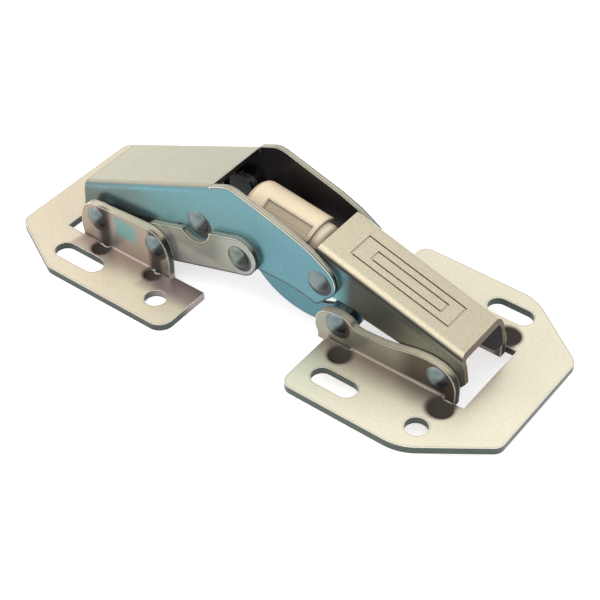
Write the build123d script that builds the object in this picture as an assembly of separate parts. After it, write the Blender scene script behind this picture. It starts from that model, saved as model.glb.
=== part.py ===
from build123d import *
from math import atan2, cos, degrees, hypot, radians, sin
import os

# Face-mounted spring hinge, open flat. Millimetres, +Z up, X along the hinge from the door leg
# to the cabinet leg, Y across it. Origin: centre plane, on the cabinet leg's mounting face, in
# the middle of the strip that closes its window.

# sheet thicknesses
plate_t = 1.6
bridge_t = 1.2
arm_t = 1.0
link_t = 1.25
curved_t = 0.9
inner_t = 1.2

# half widths and lateral clearances
arm_half = 6.8
wall_gap = 0.15
layer_gap = 0.12
bridge_half = arm_half + wall_gap + bridge_t
head_flat_t = 0.6
link_in = bridge_half + layer_gap
link_out = link_in + link_t
door_ear_in = link_out + wall_gap
door_ear_out = door_ear_in + plate_t
cab_ear_in = arm_half + 0.2
cab_ear_out = cab_ear_in + plate_t
inner_out = arm_half
inner_in = inner_out - inner_t
curved_out = 4.85
curved_in = curved_out - curved_t

# pivot centres (X, Z)
door_outer = (-89.9, 4.3)
door_inner = (-74.75, 4.8)
bridge_rear = (-65.9, 13.1)
bridge_mid = (-55.2, 11.0)
bridge_front = (-37.85, 13.45)
cab_front = (-33.25, 5.75)
cab_rear = (-11.25, 5.3)

# rivets
shank_r = 1.25
pivot_fit = 0.05
head_r = 2.3
rear_head_r = 2.55
head_h = 1.0
tail_r = 1.9
rear_tail_r = 2.9
arm_tail_r = 1.45
tail_h = 0.55
tail_gap = 0.1
spacer_r = 2.0

# cabinet leg
cab_left = -35.1
cab_right = 5.05
cab_half = 23.4
cab_chamfer_x = 14.3
cab_chamfer_y = 10.4
cab_corner_r = 2.4
cab_shoulder_r = 10.0
cab_window_right = -5.1
cab_window_gap = 0.4
window_half = cab_ear_out + cab_window_gap
hole_y = 17.45
hole_r = 2.2
cab_hole_near_x = -9.4
cab_hole_far_x = -27.1
cab_hole_far_y = 15.4
cab_slot_near_x = -27.1
cab_slot_far_x = -11.5
cab_slot_l = 9.6
bend_r = 0.5
cab_neck = (-29.6, -9.4)
cab_dimples = ((-30.4, 11.5, 2.1), (-8.2, 11.5, 2.4))
dimple_depth = 0.75
ear_skirt = 1.6

# door leg, parallel to the cabinet leg and lower
door_drop = 3.12
door_left = -106.6
door_right = -63.0
door_half = 23.3
door_chamfer_x = 14.2
door_chamfer_y = 7.5
door_corner_r = 3.0
door_window_left = -98.0
door_hole_near_x = -69.65
door_hole_far_x = -89.5
door_slot_near_x = -89.5
door_slot_far_x = -70.6
door_slot_l = 11.7
door_window_gap = 0.33
door_window_half = door_ear_out + door_window_gap
door_tab_inset = 0.57
door_tab_half = door_ear_out - door_tab_inset
door_tab_left = -70.7
door_neck = (-86.8, -74.9)
door_dimples = ((-87.8, 13.1, 1.8), (-74.6, 12.9, 1.6))
door_ear_low = -1.2
door_ear_edge = ((-93.8, -1.2), (-94.1, 1.0), (-93.9, 3.6), (-93.0, 5.9), (-91.4, 7.1), (-88.6, 7.5),
                 (-83.3, 7.85), (-78.1, 8.15), (-75.8, 8.1), (-74.2, 7.6), (-72.6, 6.2), (-71.6, 4.0),
                 (-71.3, 1.0), (-71.3, -1.2))

# cabinet ears
cab_ear_low = 1.9
cab_ear_edge = ((-37.3, 1.9), (-37.9, 4.4), (-37.5, 6.0), (-36.4, 7.2), (-35.0, 7.85), (-33.4, 8.1),
                (-31.6, 8.0), (-30.3, 7.5), (-29.5, 6.7), (-28.4, 6.3), (-26.5, 6.3), (-22.6, 6.65),
                (-18.6, 7.5), (-15.6, 8.15), (-13.3, 8.3), (-11.3, 8.1), (-9.5, 7.45), (-8.3, 6.4),
                (-7.6, 5.2), (-7.3, 3.8), (-7.25, 1.9))

# bridge
web_left = (-95.6, 8.64)
knee = (-62.67, 23.14)
rail_peak = (-58.2, 25.1)
rail_front = ((-44.0, 20.85), (-39.6, 19.1))
rail_peak_r = 5.0
bridge_front_r = 3.9
bridge_rear_r = 4.7
bridge_low_left = (-96.0, 2.9)
bridge_low_mid = (-82.8, 6.4)
bridge_low_rear = (-72.1, 9.5)
bridge_low_right = ((-35.3, 10.55), (-37.9, 7.6), (-41.8, 8.6), (-45.6, 9.0), (-53.0, 9.0))
bridge_corner_r = 1.1
bridge_edge_r = 1.35
notch_fit = 0.35

# arm
arm_top_left = (-39.1, 19.8)
arm_top_right = (-7.9, 10.8)
arm_front_r = 4.3
arm_right = -6.4
arm_low = 2.4
arm_low_edge = ((-13.4, 2.4), (-16.4, 6.1), (-22.6, 7.3), (-28.3, 8.3), (-30.1, 9.5), (-34.0, 9.8))
arm_edge_r = 1.6
label_x = (-34.4, -12.9)
label_half = 3.1
label_inner_x = (-31.2, -15.6)
label_inner_half = 1.35
label_line = 0.36
label_depth = 0.22

# links
link_r = 4.1
link_notch_r = 3.7
curved_w = 4.3
curved_sag = 5.8
curved_lug_r = 3.1
curved_slot = (-4.55, 0.15, 0.23, 0.33)
inner_lug_r = 3.9
inner_slot_lug_r = 2.6
inner_w = 5.6
inner_slot = (-0.38, 3.75, 0.18, 0.36)

# spring cartridge
spring_back = (-58.9, 16.2)
spring_front = (-42.5, 13.8)
sleeve_r = 5.37
sleeve_floor = 0.75
sleeve_low_half = 3.7
sleeve_low = 3.8
sleeve_rear_r = 2.0
sleeve_bore_r = 4.45
sleeve_bore_l = 15.2
bore_floor = 1.8
bore_low_half = 2.95
bore_low = 3.0
sleeve_fit = 0.12
arm_sweep_r = 6.62
arm_stop = ((-45.05, 8.0), (-41.65, 24.0))
groove_turn = 30.5
groove_w = 2.15
groove_depth = 0.5
groove_ends = (1.7, 12.2)
foot_half = 3.2
foot_w = 5.6
plunger_out = 1.0
plunger_nose_r = 1.2
plunger_l = 7.2
spring_wire_r = 0.32
spring_coil_r = 2.3
spring_turns = 4

os.makedirs("parts", exist_ok=True)


def save(part, name):
    export_step(part, f"parts/{name}.step")


def at(point):
    return Pos(point[0], point[1])


def slab(sketch, y_a, y_b):
    # a side view sketch (X, Z) given thickness between two Y values
    low, high = min(y_a, y_b), max(y_a, y_b)
    return extrude(Plane.XZ.offset(-high) * sketch, amount=high - low)


def rod(point, radius, y_a, y_b):
    return slab(at(point) * Circle(radius), y_a, y_b)


def bar(p, q, width):
    length = hypot(q[0] - p[0], q[1] - p[1])
    turn = degrees(atan2(q[1] - p[1], q[0] - p[0]))
    middle = ((p[0] + q[0]) / 2, (p[1] + q[1]) / 2)
    return at(middle) * (Rot(0, 0, turn) * Rectangle(length, width))


def offset_point(p, q, along, across):
    length = hypot(q[0] - p[0], q[1] - p[1])
    ux, uz = (q[0] - p[0]) / length, (q[1] - p[1]) / length
    return (p[0] + ux * along - uz * across, p[1] + uz * along + ux * across)


def dome(point, face_y, side, radius, height):
    # low domed rivet head standing on a face at |Y| = face_y
    ball = (radius * radius + height * height) / (2 * height)
    centre = side * (face_y + height - ball)
    ball_part = Pos(point[0], centre, point[1]) * Sphere(ball)
    return ball_part & rod(point, radius, side * face_y, side * (face_y + height))


def rivet(point, outer_y, inner_y, side, height=head_h, end_r=tail_r, radius=head_r):
    body = rod(point, shank_r, side * (inner_y - tail_gap), side * outer_y)
    head = dome(point, outer_y, side, radius, height)
    tail = rod(point, end_r, side * (inner_y - tail_gap - tail_h), side * (inner_y - tail_gap))
    return body + head + tail


def leg(outline, t, z, cuts):
    return Pos(0, 0, z) * extrude(outline - cuts, amount=t)


def neck_bend(x_range, ear_out, ear_low, side, z):
    # quarter bend from the leg's face up into the ear
    flat_y = ear_out + bend_r
    ring = Circle(bend_r + plate_t) - Circle(bend_r)
    reach = bend_r + plate_t
    quarter = ring & (Pos(-reach / 2, -reach / 2) * Rectangle(reach, reach))
    top = z + plate_t + bend_r
    section = Plane(origin=(x_range[0], side * flat_y, top), x_dir=(0, side, 0), z_dir=(side, 0, 0))
    length = x_range[1] - x_range[0]
    bend = extrude(section * quarter, amount=side * length)
    riser_h = ear_low + 0.4 - top
    if riser_h > 0:
        middle = (x_range[0] + x_range[1]) / 2
        riser = Pos(middle, side * (ear_out - plate_t / 2), top + riser_h / 2)
        bend += riser * Box(length, plate_t, riser_h)
    return bend


def dimples(places, z):
    # shallow round dents pressed beside the ends of each fold
    dents = []
    for x, y, radius in places:
        ball = (radius * radius + dimple_depth * dimple_depth) / (2 * dimple_depth)
        for side in (-1, 1):
            dent = Pos(x, side * y, z + plate_t + ball - dimple_depth) * Sphere(ball)
            dents.append(dent & (Pos(x, side * y, z + plate_t / 2) * Box(3 * ball, 3 * ball, plate_t)))
    return dents


def ear_face(points):
    return make_face([Spline(*points), Line(points[-1], points[0])])


def sketch_of(points):
    return make_face(Polyline(*points, close=True))


def skirt(edge):
    # strip that carries an ear down into the window, beside the leg's own edge
    low = edge[0][1]
    left, right = edge[0][0], edge[-1][0]
    return sketch_of([(left, low + 0.05), (right, low + 0.05), (right, low - ear_skirt), (left, low - ear_skirt)])


# cabinet leg: C-shaped plate with two ears folded up from its window
c = cab_chamfer_x
cab_points = [(cab_left, -cab_half), (cab_right - c, -cab_half), (cab_right, -cab_half + cab_chamfer_y)]
cab_points += [(cab_right, cab_half - cab_chamfer_y), (cab_right - c, cab_half), (cab_left, cab_half)]
cab_outline = sketch_of(cab_points)
shoulders = [v for v in cab_outline.vertices() if abs(v.X - cab_right + c) < 0.01]
cab_outline = fillet(shoulders, cab_shoulder_r)
corners = [v for v in cab_outline.vertices() if v.X < cab_left + 0.01 or v.X > cab_right - 0.01]
cab_outline = fillet(corners, cab_corner_r)
window_l = cab_window_right - cab_left + 2
cab_cuts = Pos(cab_window_right - window_l / 2, 0) * Rectangle(window_l, 2 * window_half)
cab_cuts += Pos(cab_hole_near_x, -hole_y) * Circle(hole_r)
cab_cuts += Pos(cab_hole_far_x, cab_hole_far_y) * Circle(hole_r)
cab_cuts += Pos(cab_slot_near_x, -hole_y) * SlotOverall(cab_slot_l, 2 * hole_r)
cab_cuts += Pos(cab_slot_far_x, hole_y) * SlotOverall(cab_slot_l, 2 * hole_r)
cabinet_plate = leg(cab_outline, plate_t, 0, cab_cuts)
cab_ear = ear_face(cab_ear_edge)
for side in (-1, 1):
    cabinet_plate += neck_bend(cab_neck, cab_ear_out, cab_ear_low, side, 0)
    cabinet_plate += slab(cab_ear, side * cab_ear_in, side * cab_ear_out)
    cabinet_plate += slab(skirt(cab_ear_edge), side * cab_ear_in, side * cab_ear_out)
for dent in dimples(cab_dimples, 0):
    cabinet_plate -= dent
for pivot in (cab_front, cab_rear):
    cabinet_plate -= rod(pivot, shank_r, -cab_ear_out - 1, cab_ear_out + 1)
save(cabinet_plate, "cabinet_plate")

# door leg: the same kind of plate, lower, open the other way
c = door_chamfer_x
door_points = [(door_right, -door_half), (door_left + c, -door_half)]
door_points += [(door_left, -door_half + door_chamfer_y)]
door_points += [(door_left, door_half - door_chamfer_y), (door_left + c, door_half), (door_right, door_half)]
door_outline = sketch_of(door_points)
door_outline = fillet(door_outline.vertices(), door_corner_r)
window_l = door_right - door_window_left + 2
door_cuts = Pos(door_window_left + window_l / 2, 0) * Rectangle(window_l, 2 * door_tab_half)
wide_l = door_tab_left - door_window_left
door_cuts += Pos(door_window_left + wide_l / 2, 0) * Rectangle(wide_l, 2 * door_window_half)
door_cuts += Pos(door_hole_near_x, -hole_y) * Circle(hole_r)
door_cuts += Pos(door_hole_far_x, hole_y) * Circle(hole_r)
door_cuts += Pos(door_slot_near_x, -hole_y) * SlotOverall(door_slot_l, 2 * hole_r)
door_cuts += Pos(door_slot_far_x, hole_y) * SlotOverall(door_slot_l, 2 * hole_r)
door_plate = leg(door_outline, plate_t, -door_drop, door_cuts)
door_ear = ear_face(door_ear_edge)
for side in (-1, 1):
    door_plate += neck_bend(door_neck, door_ear_out, door_ear_low, side, -door_drop)
    door_plate += slab(door_ear, side * door_ear_in, side * door_ear_out)
    door_plate += slab(skirt(door_ear_edge), side * door_ear_in, side * door_ear_out)
for dent in dimples(door_dimples, -door_drop):
    door_plate -= dent
for pivot in (door_outer, door_inner):
    door_plate -= rod(pivot, shank_r, -door_ear_out - 1, door_ear_out + 1)
save(door_plate, "door_plate")

# bridge: channel with a sloped web on the door side and open rails on the cabinet side
rear_low = (bridge_rear[0] + bridge_rear_r * 0.8, 9.6)
rail_turn = radians(62)
rail_end = (bridge_front[0] + bridge_front_r * cos(rail_turn),
            bridge_front[1] + bridge_front_r * sin(rail_turn))
wall = sketch_of([web_left, knee, rail_peak, *rail_front, rail_end, bridge_front, *bridge_low_right,
                  rear_low, bridge_rear, bridge_low_rear, bridge_low_mid, bridge_low_left])
corner = wall.vertices().sort_by_distance(Vertex(bridge_low_right[1][0], bridge_low_right[1][1], 0))[0]
wall = fillet(corner, bridge_corner_r)
corner = wall.vertices().sort_by_distance(Vertex(rail_peak[0], rail_peak[1], 0))[0]
wall = fillet(corner, rail_peak_r)
wall += at(bridge_front) * Circle(bridge_front_r)
wall += at(bridge_rear) * Circle(bridge_rear_r)
notch_r = shank_r + notch_fit
wall -= at(door_outer) * Circle(notch_r)
wall -= Pos(door_outer[0], door_outer[1] - 4) * Rectangle(2 * notch_r, 8)
box_left = wall & (Pos(knee[0] - 50, 0) * Rectangle(100, 100))
shell = slab(box_left, -bridge_half, bridge_half)
web_dir = atan2(knee[1] - web_left[1], knee[0] - web_left[0])
long_edges = [e for e in shell.edges() if abs(abs(e.center().Y) - bridge_half) < 0.01
              and e.length > 20 and e.center().Z > (web_left[1] + knee[1]) / 2 - 1]
shell = fillet(long_edges, bridge_edge_r)
under_l = offset_point(web_left, knee, -10, -bridge_t)
under_r = offset_point(knee, web_left, -2, bridge_t)
hollow = sketch_of([under_l, under_r, (under_r[0], -20), (under_l[0], -20)])
hollow_part = slab(hollow, -(bridge_half - bridge_t), bridge_half - bridge_t)
in_edges = [e for e in hollow_part.edges() if abs(abs(e.center().Y) - bridge_half + bridge_t) < 0.01
            and e.length > 20 and e.center().Z > 8]
hollow_part = fillet(in_edges, bridge_edge_r - bridge_t)
bridge = shell - hollow_part
wall_right = wall & (Pos(knee[0] + 50, 0) * Rectangle(100.0, 100))
for side in (-1, 1):
    bridge += slab(wall_right, side * (bridge_half - bridge_t), side * bridge_half)
for pivot in (bridge_rear, bridge_mid, bridge_front):
    bridge -= rod(pivot, shank_r, -bridge_half - 1, bridge_half + 1)
save(bridge, "bridge")

# arm: label channel between the bridge's front pivots and the cabinet ears' rear pivots
arm_side = sketch_of([arm_top_left, arm_top_right, (arm_right - 0.6, 8.4), (arm_right, arm_low + 2.6),
                      (arm_right - 1.8, arm_low), *arm_low_edge,
                      (bridge_front[0] + 2.0, bridge_front[1] - arm_front_r + 0.5), bridge_front,
                      (bridge_front[0] - arm_front_r, bridge_front[1])])
arm_side += at(bridge_front) * Circle(arm_front_r)
arm = slab(arm_side, -arm_half, arm_half)
long_edges = [e for e in arm.edges() if abs(abs(e.center().Y) - arm_half) < 0.01
              and e.length > 20 and e.center().Z > 13]
arm = fillet(long_edges, arm_edge_r)
under_l = offset_point(arm_top_left, arm_top_right, -8, -arm_t)
under_r = offset_point(arm_top_left, arm_top_right, 50, -arm_t)
hollow = sketch_of([under_l, under_r, (under_r[0], -20), (under_l[0], -20)])
hollow_part = slab(hollow, -(arm_half - arm_t), arm_half - arm_t)
in_edges = [e for e in hollow_part.edges() if abs(abs(e.center().Y) - arm_half + arm_t) < 0.01
            and e.length > 20 and e.center().Z > 8]
arm -= fillet(in_edges, arm_edge_r - arm_t)
arm_turn = degrees(atan2(arm_top_left[1] - arm_top_right[1], arm_top_right[0] - arm_top_left[0]))
for x_range, half in ((label_x, label_half), (label_inner_x, label_inner_half)):
    frame_l = (x_range[1] - x_range[0]) / cos(radians(arm_turn))
    mid_x = (x_range[0] + x_range[1]) / 2
    mid_z = arm_top_left[1] - (mid_x - arm_top_left[0]) * sin(radians(arm_turn)) / cos(radians(arm_turn))
    ring = Rectangle(frame_l, 2 * half) - Rectangle(frame_l - 2 * label_line, 2 * half - 2 * label_line)
    plane = Plane(origin=(mid_x, 0, mid_z), x_dir=(cos(radians(arm_turn)), 0, -sin(radians(arm_turn))),
                  z_dir=(sin(radians(arm_turn)), 0, cos(radians(arm_turn))))
    arm -= extrude(plane * ring, amount=-label_depth) + extrude(plane * ring, amount=0.5)
for pivot in (bridge_front, cab_rear):
    arm -= rod(pivot, shank_r + pivot_fit, -arm_half - 1, arm_half + 1)
save(arm, "arm")


def curved_outline():
    # slim link that sags below the line between its two pivots
    span = hypot(cab_front[0] - bridge_mid[0], cab_front[1] - bridge_mid[1])
    sag = curved_sag
    radius = (span * span / 4 + sag * sag) / (2 * sag)
    turn = degrees(atan2(cab_front[1] - bridge_mid[1], cab_front[0] - bridge_mid[0]))
    middle = ((bridge_mid[0] + cab_front[0]) / 2, (bridge_mid[1] + cab_front[1]) / 2)
    ring = Circle(radius + curved_w / 2) - Circle(radius - curved_w / 2)
    band = (Pos(0, radius - sag) * ring) & (Pos(0, -sag / 2) * Rectangle(span - 1.8, curved_w + 3 * sag))
    return at(middle) * (Rot(0, 0, turn) * band)


for side, tag in ((-1, "near"), (1, "far")):
    # broad outer link, door ear to bridge
    outline = bar(door_inner, bridge_mid, 2 * link_r)
    for pivot in (door_inner, bridge_mid):
        outline += at(pivot) * Circle(link_r)
    for pivot in (door_inner, bridge_mid):
        outline -= at(pivot) * Circle(shank_r + pivot_fit)
    # scallop that clears the bridge's rear rivet head
    outline -= at(bridge_rear) * Circle(link_notch_r)
    save(slab(outline, side * link_in, side * link_out), f"outer_link_{tag}")

    # curved link inside the channels, cabinet ear to bridge, with a slot at the bridge end
    outline = curved_outline() + at(cab_front) * Circle(curved_lug_r)
    slot_a = offset_point(bridge_mid, cab_front, curved_slot[0], curved_slot[2])
    slot_b = offset_point(bridge_mid, cab_front, curved_slot[1], curved_slot[2])
    outline += bar(slot_a, slot_b, 2 * curved_lug_r)
    outline += at(slot_a) * Circle(curved_lug_r)
    outline += at(slot_b) * Circle(curved_lug_r)
    hole = shank_r + curved_slot[3]
    outline -= bar(slot_a, slot_b, 2 * hole)
    outline -= at(slot_a) * Circle(hole)
    outline -= at(slot_b) * Circle(hole)
    outline -= at(cab_front) * Circle(shank_r + pivot_fit)
    save(slab(outline, side * curved_in, side * curved_out), f"curved_link_{tag}")

    # inner link, door ear to bridge, hidden in the channel, with a slot at the bridge end
    outline = bar(door_outer, bridge_rear, inner_w) + at(door_outer) * Circle(inner_lug_r)
    slot_a = offset_point(bridge_rear, door_outer, inner_slot[0], inner_slot[2])
    slot_b = offset_point(bridge_rear, door_outer, inner_slot[1], inner_slot[2])
    outline += bar(slot_a, slot_b, 2 * inner_slot_lug_r)
    outline += at(slot_a) * Circle(inner_slot_lug_r)
    outline += at(slot_b) * Circle(inner_slot_lug_r)
    hole = shank_r + inner_slot[3]
    outline -= bar(slot_a, slot_b, 2 * hole)
    outline -= at(slot_a) * Circle(hole)
    outline -= at(slot_b) * Circle(hole)
    outline -= at(door_outer) * Circle(shank_r + pivot_fit)
    save(slab(outline, side * inner_in, side * inner_out), f"inner_link_{tag}")

    # rivets and spacers
    save(rivet(door_outer, door_ear_out, inner_in, side), f"door_outer_rivet_{tag}")
    save(rivet(door_inner, door_ear_out, link_in, side), f"door_inner_rivet_{tag}")
    rear = rivet(bridge_rear, bridge_half, inner_in, side, head_h, rear_tail_r, rear_head_r)
    save(rear, f"bridge_rear_rivet_{tag}")
    save(rivet(bridge_front, bridge_half, arm_half - arm_t, side, head_flat_t), f"bridge_front_rivet_{tag}")
    save(rivet(cab_front, cab_ear_out, curved_in, side), f"cabinet_front_rivet_{tag}")
    rear = rivet(cab_rear, cab_ear_out, arm_half - arm_t, side, head_h, arm_tail_r)
    save(rear, f"cabinet_rear_rivet_{tag}")
    spacer = rod(door_outer, spacer_r, side * (bridge_half + 0.2), side * door_ear_in)
    save(spacer - rod(door_outer, shank_r, -20, 20), f"door_spacer_{tag}")
    spacer = rod(cab_front, spacer_r, side * (curved_out + 0.1), side * cab_ear_in)
    save(spacer - rod(cab_front, shank_r, -20, 20), f"cabinet_spacer_{tag}")

# through pin on the bridge: carries the outer links and the spring sleeve's foot
pin_end = link_out + 0.1
pin = rod(bridge_mid, shank_r, -pin_end, pin_end)
for side in (-1, 1):
    pin += dome(bridge_mid, pin_end, side, head_r, head_h)
save(pin, "bridge_pin")

# spring cartridge along the bridge's centre plane
tilt = degrees(atan2(spring_back[1] - spring_front[1], spring_front[0] - spring_back[0]))
sleeve_l = hypot(spring_front[0] - spring_back[0], spring_front[1] - spring_back[1])
axis_plane = Plane(origin=(spring_front[0], 0, spring_front[1]), x_dir=(0, 1, 0),
                   z_dir=(cos(radians(tilt)), 0, -sin(radians(tilt))))
tube = Pos(0, 0, -sleeve_l / 2) * Cylinder(sleeve_r, sleeve_l)
tube = fillet(tube.edges().filter_by(GeomType.CIRCLE).sort_by(Axis.Z)[0], sleeve_rear_r)
over = Box(4 * sleeve_r, 2 * sleeve_r, 3 * sleeve_l)
upper = tube & (Pos(0, sleeve_floor + sleeve_r, 0) * over)
low_h = sleeve_low + sleeve_floor + 0.4
low_l = sleeve_l - sleeve_rear_r
lower = Pos(0, sleeve_floor + 0.4 - low_h / 2, -low_l / 2) * Box(2 * sleeve_low_half, low_h, low_l)
bore = Pos(0, 0, -sleeve_bore_l / 2) * Cylinder(sleeve_bore_r, sleeve_bore_l)
bore &= Pos(0, bore_floor + sleeve_r, 0) * over
bore_h = bore_low + bore_floor + 0.1
bore_mid = Pos(0, bore_floor + 0.1 - bore_h / 2, -sleeve_bore_l / 2)
bore += bore_mid * Box(2 * bore_low_half, bore_h, sleeve_bore_l)
groove_l = groove_ends[1] - groove_ends[0]
groove = Pos(0, 0, -(groove_ends[0] + groove_ends[1]) / 2) * Box(groove_w, 2 * groove_depth, groove_l)
foot = Pos(bridge_mid[0], bridge_mid[1] + 1.4) * Rectangle(2 * foot_half, 3.6)
foot += at(bridge_mid) * Circle(foot_half)
sleeve = axis_plane * (upper + lower)
sleeve += slab(foot, -foot_w / 2, foot_w / 2)
sleeve -= axis_plane * bore
sleeve -= rod(bridge_mid, shank_r, -20, 20)
# saddle that clears the arm's front corner as it swings past
sleeve -= rod(bridge_front, arm_sweep_r, -20, 20)
sleeve -= slab(sketch_of([*arm_stop, (-30.0, 24.0), (-30.0, 8.0)]), -20, 20)
sleeve -= axis_plane * (Rot(0, 0, groove_turn) * (Pos(0, sleeve_r, 0) * groove))
save(sleeve, "spring_sleeve")

plunger_r = sleeve_bore_r - sleeve_fit
body = Pos(0, 0, plunger_out - plunger_l / 2) * Cylinder(plunger_r, plunger_l)
body = fillet(body.edges().filter_by(GeomType.CIRCLE).sort_by(Axis.Z)[-1], plunger_nose_r)
plunger = body & (Pos(0, bore_floor + sleeve_fit + sleeve_r, 0) * over)
tail_h_low = bore_low + bore_floor
tail_z = plunger_out - plunger_nose_r / 2 - plunger_l / 2
tail_low = Pos(0, bore_floor + sleeve_fit + 0.1 - tail_h_low / 2, tail_z)
tail_low *= Box(2 * (bore_low_half - sleeve_fit), tail_h_low, plunger_l - plunger_nose_r)
plunger = axis_plane * (plunger + (tail_low & body))
save(plunger, "spring_plunger")

spring_a = -sleeve_bore_l + spring_wire_r + 0.05
spring_b = plunger_out - plunger_l - spring_wire_r - 0.05
coil_r = spring_coil_r
coil_h = spring_b - spring_a
helix = Helix(pitch=coil_h / spring_turns, height=coil_h, radius=coil_r)
wire_section = Plane(origin=helix @ 0, z_dir=helix % 0) * Circle(spring_wire_r)
coil = sweep(wire_section, path=helix)
save(axis_plane * (Pos(0, 0, spring_a) * coil), "compression_spring")
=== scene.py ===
import bpy
import math
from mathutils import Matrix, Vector


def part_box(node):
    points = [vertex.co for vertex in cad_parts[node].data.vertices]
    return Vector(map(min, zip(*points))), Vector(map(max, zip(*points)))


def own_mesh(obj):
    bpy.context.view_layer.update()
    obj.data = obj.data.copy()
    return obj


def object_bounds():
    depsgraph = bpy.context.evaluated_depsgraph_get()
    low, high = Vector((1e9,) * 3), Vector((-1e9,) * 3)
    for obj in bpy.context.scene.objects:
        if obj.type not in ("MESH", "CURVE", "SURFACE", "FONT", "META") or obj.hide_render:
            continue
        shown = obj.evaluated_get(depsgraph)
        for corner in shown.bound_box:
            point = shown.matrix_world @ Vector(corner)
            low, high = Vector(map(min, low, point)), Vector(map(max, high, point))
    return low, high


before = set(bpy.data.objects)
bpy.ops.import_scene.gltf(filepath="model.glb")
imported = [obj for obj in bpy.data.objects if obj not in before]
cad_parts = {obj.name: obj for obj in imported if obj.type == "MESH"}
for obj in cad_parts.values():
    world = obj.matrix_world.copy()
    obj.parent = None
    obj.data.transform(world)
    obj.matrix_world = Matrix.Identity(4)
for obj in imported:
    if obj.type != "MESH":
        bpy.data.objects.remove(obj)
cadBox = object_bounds()
print("frame loaded:", len(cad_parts), "nodes")

mm = 0.001                           # sizes and places below are in mm where no other unit is given
white = (1.0, 1.0, 1.0, 1.0)


def metres(sizes):
    return tuple(size * mm for size in sizes)


# helpers for node trees

def wire(tree, value, socket):
    # a number or a tuple is set on the socket, and an output is linked to it
    if isinstance(value, (int, float, tuple)):
        socket.default_value = value
    else:
        tree.links.new(value, socket)


def mathNode(tree, operation, a, b=None, clamp=False):
    node = tree.nodes.new("ShaderNodeMath")
    node.operation = operation
    node.use_clamp = clamp
    wire(tree, a, node.inputs[0])
    if b is not None:
        wire(tree, b, node.inputs[1])
    return node.outputs["Value"]


def vectorMath(tree, operation, a, b=None):
    # a length and a dot product are numbers, and the other results are vectors
    node = tree.nodes.new("ShaderNodeVectorMath")
    node.operation = operation
    wire(tree, a, node.inputs[0])
    if b is not None:
        wire(tree, b, node.inputs[1])
    return node.outputs["Value" if operation in ("LENGTH", "DOT_PRODUCT") else "Vector"]


def split(tree, vector):
    node = tree.nodes.new("ShaderNodeSeparateXYZ")
    tree.links.new(vector, node.inputs["Vector"])
    return node.outputs


def opaque(colour):
    return colour + (1.0,)


def mixColour(tree, factor, a, b, blend="MIX"):
    # a Mix node has sockets for every kind of value, and these are the ones for colours
    node = tree.nodes.new("ShaderNodeMix")
    node.data_type = "RGBA"
    node.blend_type = blend
    inputs = {socket.identifier: socket for socket in node.inputs}
    outputs = {socket.identifier: socket for socket in node.outputs}
    wire(tree, factor, inputs["Factor_Float"])
    for colour, socket in ((a, inputs["A_Color"]), (b, inputs["B_Color"])):
        wire(tree, opaque(colour) if isinstance(colour, tuple) else colour, socket)
    return outputs["Result_Color"]


def ramp(tree, value, limits=(0.0, 1.0)):
    # 0 below the first limit, 1 above the second, and a smooth step between them
    node = tree.nodes.new("ShaderNodeMapRange")
    node.interpolation_type = "SMOOTHSTEP"
    node.inputs["From Min"].default_value, node.inputs["From Max"].default_value = limits
    tree.links.new(value, node.inputs["Value"])
    return node.outputs["Result"]


def pieceCoords(tree, kind):
    # Object is the place on the piece, and Normal the way its surface faces
    return tree.nodes.new("ShaderNodeTexCoord").outputs[kind]


def noise(tree, settings):
    node = tree.nodes.new("ShaderNodeTexNoise")
    for label, value in settings.items():
        node.inputs[label].default_value = value
    tree.links.new(pieceCoords(tree, "Object"), node.inputs["Vector"])
    return node.outputs["Fac"]


# camera, floor, sky and lamps

cameraSpec = {
    "target": (-45.0, -3.87, 1.6),   # the point in the middle of the view
    "azimuth": 37.0,                 # degrees
    "elevation": 42.9,
    "distance": 292.95,
    "lens": 92.88,
    "sensor": 36.0,
    "nearest": 5.0,                  # nothing closer to the camera is drawn
}


def makeCamera(spec):
    azimuth, elevation = math.radians(spec["azimuth"]), math.radians(spec["elevation"])
    level = math.cos(elevation)
    back = Vector((math.sin(azimuth) * level, -math.cos(azimuth) * level, math.sin(elevation)))
    data = bpy.data.cameras.new("hingeCamera")
    data.lens = spec["lens"]
    data.sensor_width = spec["sensor"]
    data.clip_start = spec["nearest"] * mm
    camera = bpy.data.objects.new("hingeCamera", data)
    camera.location = Vector(spec["target"]) * mm + back * spec["distance"] * mm
    camera.rotation_euler = back.to_track_quat("Z", "Y").to_euler()
    bpy.context.collection.objects.link(camera)
    bpy.context.scene.camera = camera


floorSpec = {
    "gap": 0.04,                     # between the lowest point of the hinge and the floor
    "width": 2400.0,
    "colour": (0.86, 0.86, 0.86),
    "rough": 0.9,
    "glow": 0.62,                    # light of its own, only for the rays that show the floor
}


def seenByCamera(tree):
    # 1 for camera, glossy and transmission rays, 0 for the rays that light the object
    path = tree.nodes.new("ShaderNodeLightPath").outputs
    direct = mathNode(tree, "MAXIMUM", path["Is Camera Ray"], path["Is Glossy Ray"])
    return mathNode(tree, "MAXIMUM", direct, path["Is Transmission Ray"])


def floorMaterial(spec):
    material = bpy.data.materials.new("paleFloor")
    material.use_nodes = True
    tree = material.node_tree
    shader = tree.nodes["Principled BSDF"]
    shader.inputs["Base Color"].default_value = opaque(spec["colour"])
    shader.inputs["Roughness"].default_value = spec["rough"]
    shader.inputs["Specular IOR Level"].default_value = 0.0
    glow = tree.nodes.new("ShaderNodeEmission")
    glow.inputs["Color"].default_value = white
    tree.links.new(mathNode(tree, "MULTIPLY", seenByCamera(tree), spec["glow"]), glow.inputs["Strength"])
    both = tree.nodes.new("ShaderNodeAddShader")
    tree.links.new(shader.outputs[0], both.inputs[0])
    tree.links.new(glow.outputs[0], both.inputs[1])
    tree.links.new(both.outputs[0], tree.nodes["Material Output"].inputs["Surface"])
    return material


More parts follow.
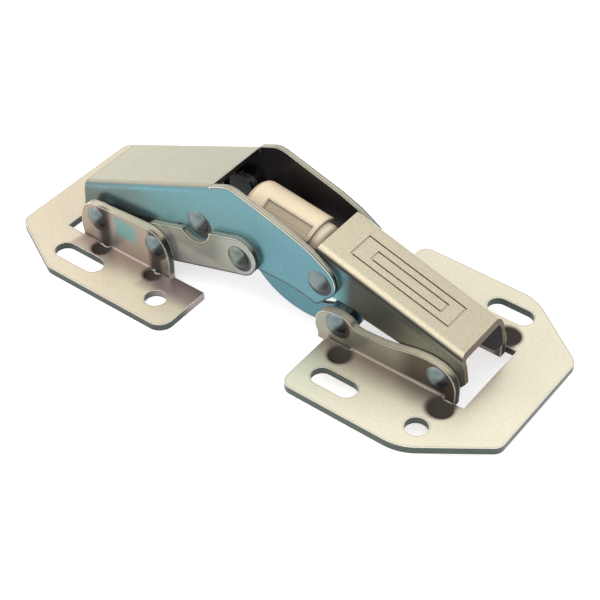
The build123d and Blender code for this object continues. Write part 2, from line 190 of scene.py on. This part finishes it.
def makeFloor(spec):
    half = spec["width"] / 2 * mm
    z = cadBox[0].z - spec["gap"] * mm
    mesh = bpy.data.meshes.new("studioFloor")
    corners = [(-half, -half, z), (half, -half, z), (half, half, z), (-half, half, z)]
    mesh.from_pydata(corners, [], [(0, 1, 2, 3)])
    mesh.materials.append(floorMaterial(spec))
    floor = bpy.data.objects.new("studioFloor", mesh)
    bpy.context.collection.objects.link(floor)


skySpec = {
    "colour": (0.93, 0.95, 1.0),
    "strength": 0.84,                # the light on the hinge
    "seenStrength": 1.0,             # the white behind it
}


def makeSky(spec):
    world = bpy.data.worlds.new("studioWorld")
    bpy.context.scene.world = world
    world.use_nodes = True
    tree = world.node_tree
    lit = tree.nodes["Background"]
    lit.inputs["Color"].default_value = opaque(spec["colour"])
    lit.inputs["Strength"].default_value = spec["strength"]
    seen = tree.nodes.new("ShaderNodeBackground")
    seen.inputs["Color"].default_value = white
    seen.inputs["Strength"].default_value = spec["seenStrength"]
    path = tree.nodes.new("ShaderNodeLightPath")
    mix = tree.nodes.new("ShaderNodeMixShader")
    tree.links.new(path.outputs["Is Camera Ray"], mix.inputs[0])
    tree.links.new(lit.outputs[0], mix.inputs[1])
    tree.links.new(seen.outputs[0], mix.inputs[2])
    tree.links.new(mix.outputs[0], tree.nodes["World Output"].inputs["Surface"])


# power is in watts
lampSpec = {
    "topSoft": {
        "place": (-160, -60, 420), "aim": (-45, 0, 5),
        "size": 620, "power": 1.1, "colour": (1.0, 0.97, 0.92),
    },
    "leftSoft": {
        "place": (-380, -260, 200), "aim": (-55, 0, 5),
        "size": 300, "power": 0.25, "colour": (1.0, 0.98, 0.95),
    },
    "frontFill": {
        "place": (120, -420, 120), "aim": (-45, 0, 5),
        "size": 190, "power": 0.1, "colour": (0.92, 0.96, 1.0),
    },
}


def makeLamp(name, spec):
    data = bpy.data.lights.new(name, "AREA")
    data.shape = "SQUARE"
    data.size = spec["size"] * mm
    data.energy = spec["power"]
    data.color = spec["colour"]
    lamp = bpy.data.objects.new(name, data)
    place = Vector(spec["place"]) * mm
    lamp.location = place
    lamp.rotation_euler = (place - Vector(spec["aim"]) * mm).to_track_quat("Z", "Y").to_euler()
    bpy.context.collection.objects.link(lamp)


bpy.context.scene.view_settings.view_transform = "Standard"
makeCamera(cameraSpec)
makeFloor(floorSpec)
makeSky(skySpec)
for name, spec in lampSpec.items():
    makeLamp(name, spec)
print("camera, floor, sky and lamps made")


# masks that place a paint on a piece

def newGroup(name, inputs, outputs):
    # inputs and outputs give the kind of each socket by its label
    group = bpy.data.node_groups.new(name, "ShaderNodeTree")
    for direction, sockets in (("INPUT", inputs), ("OUTPUT", outputs)):
        for label, kind in sockets.items():
            group.interface.new_socket(name=label, in_out=direction, socket_type="NodeSocket" + kind)
    given = group.nodes.new("NodeGroupInput")
    made = group.nodes.new("NodeGroupOutput")
    return group, given.outputs, made.inputs


def foldedPlace(tree):
    # the place on the piece, with its distance from the centre plane in place of Y
    place = split(tree, pieceCoords(tree, "Object"))
    folded = tree.nodes.new("ShaderNodeCombineXYZ")
    tree.links.new(place["X"], folded.inputs["X"])
    tree.links.new(mathNode(tree, "ABSOLUTE", place["Y"]), folded.inputs["Y"])
    tree.links.new(place["Z"], folded.inputs["Z"])
    return folded.outputs["Vector"]


def makeBoxGroup():
    # 1 inside a box, falling smoothly to 0 outside it: the least of the six distances to the box's
    # faces, each counted inwards and divided by that axis's soft distance, plus 1
    corners = {"Low": "Vector", "High": "Vector", "Soft": "Vector"}
    group, given, made = newGroup("softBox", corners, {"Mask": "Float"})
    place = foldedPlace(group)
    aboveLow = vectorMath(group, "SUBTRACT", place, given["Low"])
    belowHigh = vectorMath(group, "SUBTRACT", given["High"], place)
    inside = vectorMath(group, "MINIMUM", aboveLow, belowHigh)
    share = split(group, vectorMath(group, "DIVIDE", inside, given["Soft"]))
    least = mathNode(group, "MINIMUM", mathNode(group, "MINIMUM", share["X"], share["Y"]), share["Z"])
    group.links.new(ramp(group, mathNode(group, "ADD", least, 1.0, clamp=True)), made["Mask"])
    return group


def makeSpotGroup():
    # 1 within a radius of a line, falling smoothly to 0 over the soft distance outside it: an upright
    # line for a plane of (1, 1, 0), one along Y for (1, 0, 1)
    circle = {"Centre": "Vector", "Plane": "Vector", "Radius": "Float", "Soft": "Float"}
    group, given, made = newGroup("softSpot", circle, {"Mask": "Float"})
    away = vectorMath(group, "SUBTRACT", foldedPlace(group), given["Centre"])
    distance = vectorMath(group, "LENGTH", vectorMath(group, "MULTIPLY", away, given["Plane"]))
    outside = mathNode(group, "SUBTRACT", distance, given["Radius"])
    share = mathNode(group, "DIVIDE", outside, given["Soft"])
    group.links.new(ramp(group, mathNode(group, "SUBTRACT", 1.0, share, clamp=True)), made["Mask"])
    return group


# where the mask starts and is full: along X from the closed end, and inside the outer radius
coreLimits = {"front": (1.2, 1.6), "depth": (0.15, 0.4)}


def makeCoreGroup(limits):
    # the mask of the painted shade: 1 where the sleeve's surface lies inside its outer radius, in front of
    # its closed end; the distance from its sloping axis is the root of Y squared plus the height above the
    # axis squared
    cylinder = {"Start": "Vector", "Across": "Vector", "Radius": "Float"}
    group, given, made = newGroup("sleeveCore", cylinder, {"Mask": "Float"})
    away = vectorMath(group, "SUBTRACT", pieceCoords(group, "Object"), given["Start"])
    height = vectorMath(group, "DOT_PRODUCT", away, given["Across"])
    place = split(group, away)
    squares = mathNode(group, "ADD", mathNode(group, "POWER", height, 2.0),
                       mathNode(group, "MULTIPLY", place["Y"], place["Y"]))
    depth = mathNode(group, "SUBTRACT", given["Radius"], mathNode(group, "SQRT", squares))
    deep = ramp(group, depth, metres(limits["depth"]))
    inFront = ramp(group, place["X"], metres(limits["front"]))
    group.links.new(mathNode(group, "MULTIPLY", deep, inFront), made["Mask"])
    return group


shadeSideSpec = {"towardsX": 0.85, "down": 0.5, "limits": (0.06, 0.34)}


def makeShadeSideGroup(spec):
    # 1 on the faces that turn towards +X and down, the side of a dome that lies in shade
    group, _, made = newGroup("shadeSide", {}, {"Mask": "Float"})
    facing = split(group, pieceCoords(group, "Normal"))
    turn = mathNode(group, "SUBTRACT", mathNode(group, "MULTIPLY", facing["X"], spec["towardsX"]),
                    mathNode(group, "MULTIPLY", facing["Z"], spec["down"]))
    group.links.new(ramp(group, turn, spec["limits"]), made["Mask"])
    return group


boxGroup = makeBoxGroup()
spotGroup = makeSpotGroup()
coreGroup = makeCoreGroup(coreLimits)
shadeSideGroup = makeShadeSideGroup(shadeSideSpec)


# the plated finish: colours by the way a face is turned, which paint its light, shade and reflection, then
# paints, grain, and painted highlight and shade lines along the edges

faceNames = ("top", "side", "edge", "inner", "under")
# the share of a face's normal in each direction where that colour starts and where it is full
turnLimits = {"side": (0.5, 0.85), "top": (0.55, 0.85), "inner": (0.4, 0.8), "under": (0.5, 0.8)}


def makeFacingLightGroup(limits):
    # colour by how a face is turned on its own piece: outwards, up, inwards to the centre plane, down, each
    # over the ones before it, and the edge colour for the rest; these colours paint the light, shade and
    # reflection that each way of turning gets, over the piece's own tint
    colours = {face.title(): "Color" for face in faceNames}
    group, given, made = newGroup("platingWithFacingLight", colours, {"Color": "Color"})
    facing = split(group, pieceCoords(group, "Normal"))
    place = split(group, pieceCoords(group, "Object"))
    outward = mathNode(group, "MULTIPLY", facing["Y"], mathNode(group, "SIGN", place["Y"]))
    turns = {
        "side": outward, "top": facing["Z"],
        "inner": mathNode(group, "MULTIPLY", outward, -1.0),
        "under": mathNode(group, "MULTIPLY", facing["Z"], -1.0),
    }
    colour = given["Edge"]
    for face, turn in turns.items():
        colour = mixColour(group, ramp(group, turn, limits[face]), colour, given[face.title()])
    group.links.new(colour, made["Color"])
    return group


grainSpec = {
    "blotch": {"Scale": 75.0, "Detail": 4.0, "Roughness": 0.6},      # scales are per metre
    "speck": {"Scale": 2400.0, "Detail": 2.0, "Roughness": 0.7},
    "blotchRough": 0.4,              # how much the blotches change the roughness
    "height": 0.03,                  # of the bump
}


def makeGrainGroup(spec):
    # a broad soft mottle and a fine grain, each of them its noise less a half, times its amount: the
    # shade is 1 plus both, the mottle also changes the roughness, and the height is the fine noise
    amounts = {"Mottle": "Float", "Grain": "Float", "Roughness": "Float"}
    results = {"Shade": "Color", "Roughness": "Float", "Height": "Float"}
    group, given, made = newGroup("surfaceGrain", amounts, results)
    speck = noise(group, spec["speck"])
    blotch = mathNode(group, "SUBTRACT", noise(group, spec["blotch"]), 0.5)
    mottle = mathNode(group, "MULTIPLY", blotch, given["Mottle"])
    grain = mathNode(group, "MULTIPLY", mathNode(group, "SUBTRACT", speck, 0.5), given["Grain"])
    shade = mathNode(group, "ADD", mathNode(group, "ADD", mottle, grain), 1.0)
    grey = group.nodes.new("ShaderNodeCombineColor")
    for socket in grey.inputs:
        group.links.new(shade, socket)
    change = mathNode(group, "MULTIPLY", mottle, spec["blotchRough"])
    group.links.new(grey.outputs["Color"], made["Shade"])
    group.links.new(mathNode(group, "ADD", given["Roughness"], change), made["Roughness"])
    group.links.new(speck, made["Height"])
    return group


edgeSpec = {
    "width": 0.7,                    # of the rounding that finds the edges
    "samples": 8,
    "light": (0.09, 0.17),           # lean where the painted highlight starts and where it is full
    "upward": (-0.25, 0.15),         # the same for how far the rounded normal points up
    "dark": (0.002, 0.03),           # lean where the painted shade line starts and where it is full
}


def makeEdgeHighlightShadeGroup(spec):
    # a painted highlight along the edges that face up and a painted shade line beside every edge, from the
    # lean: 1 less the dot product of the rounded normal and the flat one
    group, given, made = newGroup("edgeLine", {"Width": "Float"}, {"Light": "Float", "Dark": "Float"})
    bevel = group.nodes.new("ShaderNodeBevel")
    bevel.samples = spec["samples"]
    group.links.new(given["Width"], bevel.inputs["Radius"])
    rounded = bevel.outputs["Normal"]
    flat = group.nodes.new("ShaderNodeNewGeometry").outputs["Normal"]
    lean = mathNode(group, "SUBTRACT", 1.0, vectorMath(group, "DOT_PRODUCT", rounded, flat))
    light = mathNode(group, "MULTIPLY", ramp(group, lean, spec["light"]),
                     ramp(group, split(group, rounded)["Z"], spec["upward"]))
    dark = mathNode(group, "MULTIPLY", ramp(group, lean, spec["dark"]),
                    mathNode(group, "SUBTRACT", 1.0, light))
    group.links.new(light, made["Light"])
    group.links.new(dark, made["Dark"])
    return group


facingLightGroup = makeFacingLightGroup(turnLimits)
grainGroup = makeGrainGroup(grainSpec)
edgeHighlightShadeGroup = makeEdgeHighlightShadeGroup(edgeSpec)
print("finish groups made")

# the colour of the painted highlight along the edges
highlightCream = (0.96, 0.92, 0.78)
# painted shade: inside the channels, in the dark lines beside the edges and round the rivet heads
shadeBlack = (0.035, 0.028, 0.03)
# the painted shade in the dimples
dimpleShadeBrown = (0.07, 0.055, 0.042)


def boxPaint(low, high, soft, colour, amount=1.0):
    # a colour between two corners, fading out over the soft distances; Y is counted from the centre
    # plane, so that the near and the far side match
    inputs = {"Low": metres(low), "High": metres(high), "Soft": metres(soft)}
    return {"group": boxGroup, "inputs": inputs, "colour": colour, "amount": amount}


def spotPaint(centre, plane, radius, soft, colour, amount):
    inputs = {"Centre": metres(centre), "Plane": plane, "Radius": radius * mm, "Soft": soft * mm}
    return {"group": spotGroup, "inputs": inputs, "colour": colour, "amount": amount}


def dimpleShadePaint(x, y, radius, soft, amount=0.95):
    # painted shade in the dimples pressed beside the folds: a dark and dull spot on a leg's top
    paint = spotPaint((x, y, 0.0), (1.0, 1.0, 0.0), radius, soft, dimpleShadeBrown, amount)
    return {**paint, "dull": True}


headRadius, rearHeadRadius = 2.3, 2.55
headShadowSpec = {"towardsX": 0.5, "down": 0.4, "reach": 0.15, "soft": 0.4, "amount": 0.95}


def headShade(rivet, radius=headRadius, spec=headShadowSpec):
    # the painted shadow of a rivet's head on the sheet behind it, a dark crescent: a spot round the rivet's
    # axis, a little larger than the head and moved towards +X and down
    low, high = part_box(rivet)
    axis = (low + high) / 2 / mm
    centre = (axis.x + spec["towardsX"], 0.0, axis.z - spec["down"])
    return spotPaint(centre, (1.0, 0.0, 1.0), radius + spec["reach"], spec["soft"], shadeBlack, spec["amount"])


def coreShadePaint(tube, colour):
    # painted shade in the groove, the bore and what else lies inside the outer radius of a tube
    inputs = {"Start": metres(tube["back"]), "Across": tube["across"], "Radius": tube["radius"] * mm}
    return {"group": coreGroup, "inputs": inputs, "colour": colour, "amount": 1.0}


def shadeSidePaint(colour):
    # the shaded side of a rivet's or a pin's head
    return {"group": shadeSideGroup, "inputs": {}, "colour": colour, "amount": 1.0}


def groupNode(tree, group, inputs):
    node = tree.nodes.new("ShaderNodeGroup")
    node.node_tree = group
    for label, value in inputs.items():
        node.inputs[label].default_value = value
    return node.outputs


def paintOver(tree, colour, paints):
    # each paint over the ones before it, and where the dull ones are
    dull = 0.0
    for paint in paints:
        mask = groupNode(tree, paint["group"], paint["inputs"])["Mask"]
        share = mathNode(tree, "MULTIPLY", mask, paint["amount"])
        colour = mixColour(tree, share, colour, paint["colour"])
        if "dull" in paint:
            dull = mathNode(tree, "MAXIMUM", share, dull)
    return colour, dull


def drawEdgeHighlightShade(tree, colour, spec):
    # the painted shade line first, then the painted highlight over it
    edge = groupNode(tree, edgeHighlightShadeGroup, {"Width": edgeSpec["width"] * mm})
    dark = mathNode(tree, "MULTIPLY", edge["Dark"], spec["edgeShade"])
    light = mathNode(tree, "MULTIPLY", edge["Light"], spec["edgeLight"])
    colour = mixColour(tree, dark, colour, shadeBlack)
    return mixColour(tree, light, colour, spec["edgeLine"])


# what a piece's own dictionary below leaves out; edgeLight of 0 means no painted highlight or shade lines
# along the edges
plainFinish = {"paint": (), "edgeLine": highlightCream, "edgeLight": 0.0, "edgeShade": 0.85, "bump": 0.12}
dullRough = 0.5                      # what a dull paint adds to the roughness


def platedAndShadedMaterial(name, spec):
    spec = {**plainFinish, "under": spec["inner"], **spec}
    material = bpy.data.materials.new(name)
    material.use_nodes = True
    tree = material.node_tree
    shader = tree.nodes["Principled BSDF"]
    faces = {face.title(): opaque(spec[face]) for face in faceNames}
    colour = groupNode(tree, facingLightGroup, faces)["Color"]
    colour, dull = paintOver(tree, colour, spec["paint"])
    amounts = {"Mottle": spec["mottle"], "Grain": spec["grain"], "Roughness": spec["rough"]}
    grain = groupNode(tree, grainGroup, amounts)
    colour = mixColour(tree, 1.0, colour, grain["Shade"], "MULTIPLY")
    if spec["edgeLight"] > 0.0:
        colour = drawEdgeHighlightShade(tree, colour, spec)
    bump = tree.nodes.new("ShaderNodeBump")
    bump.inputs["Strength"].default_value = spec["bump"]
    bump.inputs["Distance"].default_value = grainSpec["height"] * mm
    tree.links.new(grain["Height"], bump.inputs["Height"])
    rough = mathNode(tree, "ADD", grain["Roughness"], mathNode(tree, "MULTIPLY", dull, dullRough), clamp=True)
    tree.links.new(colour, shader.inputs["Base Color"])
    tree.links.new(rough, shader.inputs["Roughness"])
    tree.links.new(bump.outputs["Normal"], shader.inputs["Normal"])
    shader.inputs["Metallic"].default_value = spec["metal"]
    return material


# one dictionary for each kind of piece; its top, side, edge, inner and under colours paint the light, shade
# and reflection on each way a face turns

cabinetLegSpec = {
    "top": (0.87, 0.81, 0.61), "side": (0.33, 0.31, 0.24), "edge": (0.06, 0.08, 0.065),
    "inner": (0.08, 0.07, 0.06), "under": (0.52, 0.47, 0.36),
    "edgeLight": 0.75, "edgeShade": 0.35, "mottle": 0.10, "grain": 0.32, "rough": 0.34, "metal": 0.6,
    "paint": (
        # painted shade on the plate beside the ears, and painted shade on the plate's rim
        boxPaint((-36.0, 8.0, -1.0), (-9.5, 9.2, 1.7), (1.5, 6.5, 0.2), (0.31, 0.26, 0.21)),
        boxPaint((-40.0, 9.6, 0.1), (10.0, 30.0, 1.5), (1.0, 0.2, 0.05), (0.065, 0.085, 0.07)),
        # the ears' outer faces, painted lighter between the rivets and darker round the rear one
        boxPaint((-25.5, 8.5, 2.4), (-19.0, 8.7, 9.0), (4.0, 0.05, 0.5), (0.28, 0.26, 0.21)),
        boxPaint((-16.0, 8.5, 2.4), (-4.0, 8.7, 9.0), (5.0, 0.05, 0.5), (0.10, 0.085, 0.065)),
        headShade("cabinet_front_rivet_near"),
        headShade("cabinet_rear_rivet_near"),
        dimpleShadePaint(-30.4, 11.3, 1.9, 1.3),
        dimpleShadePaint(-8.6, 11.3, 2.2, 1.4),
        # a small painted shade at the rear end of the fold
        dimpleShadePaint(-7.6, 9.0, 0.8, 1.5, 0.9),
    ),
}
doorLegSpec = {
    "top": (0.80, 0.70, 0.51), "side": (0.40, 0.34, 0.29), "edge": (0.055, 0.065, 0.06),
    "inner": (0.08, 0.07, 0.06), "under": (0.52, 0.47, 0.36),
    "edgeLight": 0.75, "edgeShade": 0.35, "mottle": 0.12, "grain": 0.32, "rough": 0.34, "metal": 0.6,
    "paint": (
        # painted shade on the plate beside the ears, on the plate's rim, and where the ears end
        boxPaint((-93.0, 10.5, -5.0), (-74.0, 12.6, -1.4), (1.5, 5.5, 0.2), (0.45, 0.35, 0.29)),
        boxPaint((-110.0, 12.0, -3.02), (-60.0, 30.0, -1.62), (1.0, 0.2, 0.05), (0.06, 0.07, 0.06)),
        boxPaint((-74.0, 10.0, -5.0), (-62.0, 14.0, -1.3), (2.0, 4.0, 0.2), (0.37, 0.29, 0.27)),
        # a painted teal reflection on the ears' outer faces, between the rivets
        boxPaint((-84.3, 11.0, 3.4), (-80.2, 11.5, 6.2), (1.2, 0.1, 1.4), (0.20, 0.38, 0.36)),
        headShade("door_outer_rivet_near"),
        headShade("door_inner_rivet_near"),
        dimpleShadePaint(-87.8, 12.9, 1.6, 1.3),
        dimpleShadePaint(-74.6, 12.7, 1.5, 1.2),
    ),
}
bridgeSpec = {
    "top": (0.52, 0.485, 0.355), "side": (0.12, 0.265, 0.295), "edge": (0.05, 0.045, 0.04),
    "inner": shadeBlack,
    "edgeLight": 0.85, "mottle": 0.16, "grain": 0.35, "rough": 0.28, "metal": 0.65,
    "paint": (
        # painted shade on the walls over the door leg, low down and at their end, and a darker teal on the
        # rails beside the arm
        boxPaint((-97.0, 7.8, 1.0), (-72.0, 8.3, 6.5), (7.0, 0.1, 4.0), (0.10, 0.09, 0.075), 0.9),
        boxPaint((-97.0, 7.8, 2.0), (-84.0, 8.3, 12.0), (9.0, 0.1, 3.0), (0.14, 0.20, 0.21), 0.7),
        boxPaint((-50.0, 7.8, 7.0), (-33.0, 8.3, 17.0), (6.0, 0.1, 5.0), (0.10, 0.24, 0.28), 0.8),
        headShade("bridge_rear_rivet_near", rearHeadRadius),
        headShade("bridge_front_rivet_near"),
    ),
}
armSpec = {
    "top": (0.66, 0.585, 0.415), "side": (0.042, 0.042, 0.033), "edge": (0.13, 0.095, 0.07),
    "inner": shadeBlack,
    "mottle": 0.10, "grain": 0.5, "rough": 0.3, "metal": 0.6, "bump": 0.3,
    "paint": (
        # the walls painted teal at the bridge's end, as a painted reflection, and lighter olive at the
        # cabinet's end
        boxPaint((-44.0, 6.7, 2.0), (-35.0, 7.0, 15.0), (4.0, 0.1, 3.0), (0.12, 0.31, 0.34)),
        boxPaint((-15.0, 6.7, 2.0), (-5.0, 7.0, 10.0), (8.0, 0.1, 3.0), (0.15, 0.15, 0.115)),
    ),
}
outerLinkSpec = {
    "top": (0.60, 0.57, 0.46), "side": (0.34, 0.355, 0.33), "edge": (0.07, 0.07, 0.06),
    "inner": (0.10, 0.11, 0.10),
    "edgeLight": 0.85, "mottle": 0.25, "grain": 0.4, "rough": 0.28, "metal": 0.65,
    "paint": (
        # darker at the outer face's door end, the pin's painted shadow, and a darker patch nearer the pin
        boxPaint((-95.0, 9.4, -2.0), (-88.0, 9.8, 9.0), (5.0, 0.1, 1.0), (0.15, 0.20, 0.19), 0.8),
        headShade("bridge_pin"),
        boxPaint((-69.0, 9.4, 8.0), (-62.0, 9.8, 13.0), (5.0, 0.1, 2.0), (0.14, 0.15, 0.13), 0.6),
    ),
}
innerLinkSpec = {
    "top": (0.40, 0.38, 0.32), "side": (0.16, 0.17, 0.15), "edge": (0.14, 0.14, 0.12),
    "inner": (0.08, 0.08, 0.07),
    "edgeLight": 0.5, "mottle": 0.2, "grain": 0.3, "rough": 0.3, "metal": 0.65,
}
curvedLinkSpec = {
    "top": (0.20, 0.36, 0.40), "side": (0.09, 0.23, 0.27), "edge": (0.07, 0.16, 0.18),
    "inner": (0.05, 0.08, 0.09),
    "edgeLine": (0.60, 0.72, 0.70), "edgeLight": 0.4, "edgeShade": 0.3,
    "mottle": 0.15, "grain": 0.35, "rough": 0.3, "metal": 0.6,
}
rivetSpec = {
    "top": (0.30, 0.35, 0.35), "side": (0.17, 0.215, 0.215), "edge": (0.26, 0.32, 0.33),
    "inner": (0.10, 0.11, 0.11),
    "mottle": 0.1, "grain": 0.3, "rough": 0.34, "metal": 0.6,
    "paint": (shadeSidePaint((0.03, 0.035, 0.035)),),
}
pinSpec = {
    "top": (0.32, 0.36, 0.28), "side": (0.16, 0.20, 0.17), "edge": (0.26, 0.30, 0.24),
    "inner": (0.10, 0.11, 0.10),
    "mottle": 0.1, "grain": 0.3, "rough": 0.34, "metal": 0.6,
    "paint": (shadeSidePaint((0.03, 0.035, 0.03)),),
}
springWireSpec = {
    "top": (0.40, 0.42, 0.42), "side": (0.36, 0.38, 0.38), "edge": (0.36, 0.38, 0.38),
    "inner": (0.30, 0.32, 0.32),
    "mottle": 0.05, "grain": 0.1, "rough": 0.25, "metal": 0.95,
}
sleeveTube = {
    "back": (-58.9, 0.0, 16.2),          # the middle of its closed end
    "across": (0.1448, 0.0, 0.9894),     # upwards, square to its sloping axis
    "radius": 5.37,
}
sleeveSpec = {
    "top": (0.84, 0.69, 0.47), "side": (0.42, 0.33, 0.22), "edge": (0.84, 0.68, 0.46),
    "inner": (0.10, 0.08, 0.06),
    "edgeLine": (0.95, 0.88, 0.72), "edgeLight": 0.5, "edgeShade": 0.5,
    "mottle": 0.16, "grain": 0.15, "rough": 0.38, "metal": 0.0,
    # painted shade in the sleeve's groove and bore
    "paint": (coreShadePaint(sleeveTube, (0.48, 0.38, 0.24)),),
}
plungerSpec = {
    "top": (0.92, 0.80, 0.60), "side": (0.60, 0.50, 0.36), "edge": (0.86, 0.74, 0.54),
    "inner": (0.30, 0.24, 0.17),
    "edgeLine": (0.95, 0.88, 0.72), "edgeLight": 0.5, "edgeShade": 0.5,
    "mottle": 0.10, "grain": 0.15, "rough": 0.38, "metal": 0.0,
}
finishSpec = {
    "cabinetLeg": cabinetLegSpec, "doorLeg": doorLegSpec, "bridgePlating": bridgeSpec,
    "armPlating": armSpec, "outerLinkPlating": outerLinkSpec, "innerLinkPlating": innerLinkSpec,
    "curvedPlating": curvedLinkSpec, "rivetPlating": rivetSpec, "pinPlating": pinSpec,
    "springWire": springWireSpec, "sleevePlastic": sleeveSpec, "plungerPlastic": plungerSpec,
}
finishes = {name: platedAndShadedMaterial(name, spec) for name, spec in finishSpec.items()}

# by the piece's name without its side; the rivets and spacers are the ones left out
pieceFinish = {
    "cabinet_plate": "cabinetLeg", "door_plate": "doorLeg", "bridge": "bridgePlating",
    "arm": "armPlating", "outer_link": "outerLinkPlating", "inner_link": "innerLinkPlating",
    "curved_link": "curvedPlating", "bridge_pin": "pinPlating", "compression_spring": "springWire",
    "spring_sleeve": "sleevePlastic", "spring_plunger": "plungerPlastic",
}
for name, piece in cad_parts.items():
    kind = name.removesuffix("_near").removesuffix("_far")
    for slot in piece.material_slots:
        slot.material = finishes[pieceFinish.get(kind, "rivetPlating")]
print("finishes assigned")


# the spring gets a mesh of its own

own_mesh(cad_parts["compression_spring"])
